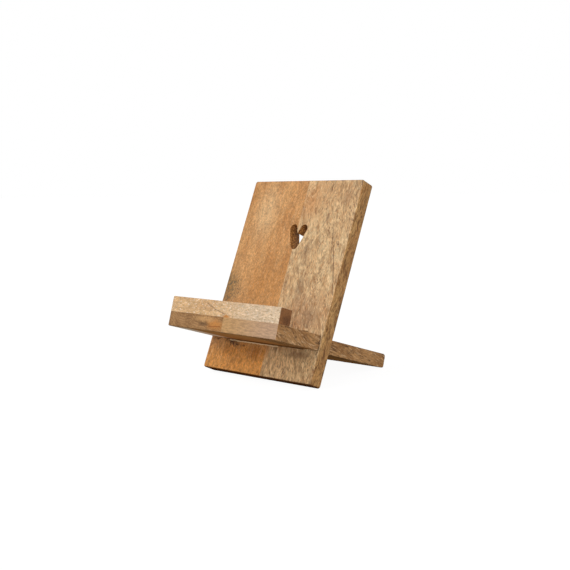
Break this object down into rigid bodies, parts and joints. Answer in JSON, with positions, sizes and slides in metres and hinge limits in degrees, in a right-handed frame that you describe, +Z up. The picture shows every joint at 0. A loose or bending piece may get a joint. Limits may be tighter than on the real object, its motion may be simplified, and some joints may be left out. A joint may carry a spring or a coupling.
{
  "type": "phone stand",
  "caption": "Slot-together wooden phone stand: a leaning back panel with a heart-shaped cut-out, and a T-shaped base board that is both the lipped shelf and the rear leg.",
  "frame": {"origin": "on the table, in the middle of the stand's footprint box", "axes": "+X to the right of someone facing the phone, +Y to the rear, +Z up"},
  "size_m": [0.1, 0.1268, 0.1325],
  "materials": {
    "panel_left_wood": "oiled orange-tan hardwood, long grain up the board, satin",
    "panel_right_wood": "oiled pale tan hardwood with brown-grey streaks up the board, satin",
    "base_left_wood": "oiled brown hardwood, long grain from front to rear, satin",
    "base_right_wood": "oiled tan hardwood, long grain from front to rear, satin",
    "lip_wood": "oiled cream hardwood, long grain from left to right, satin"
  },
  "bodies": {
    "back_panel": {"panel_left_stave": "panel_left_wood", "panel_right_stave": "panel_right_wood"},
    "base": {"base_left_stave": "base_left_wood", "base_right_stave": "base_right_wood", "lip_bar": "lip_wood"}
  },
  "joints": [
    {"name": "base_slide", "type": "slide", "parent": "back_panel", "child": "base", "axis": [0, -0.9598, 0.2807], "range_m": [0, 0.092]}
  ]
}
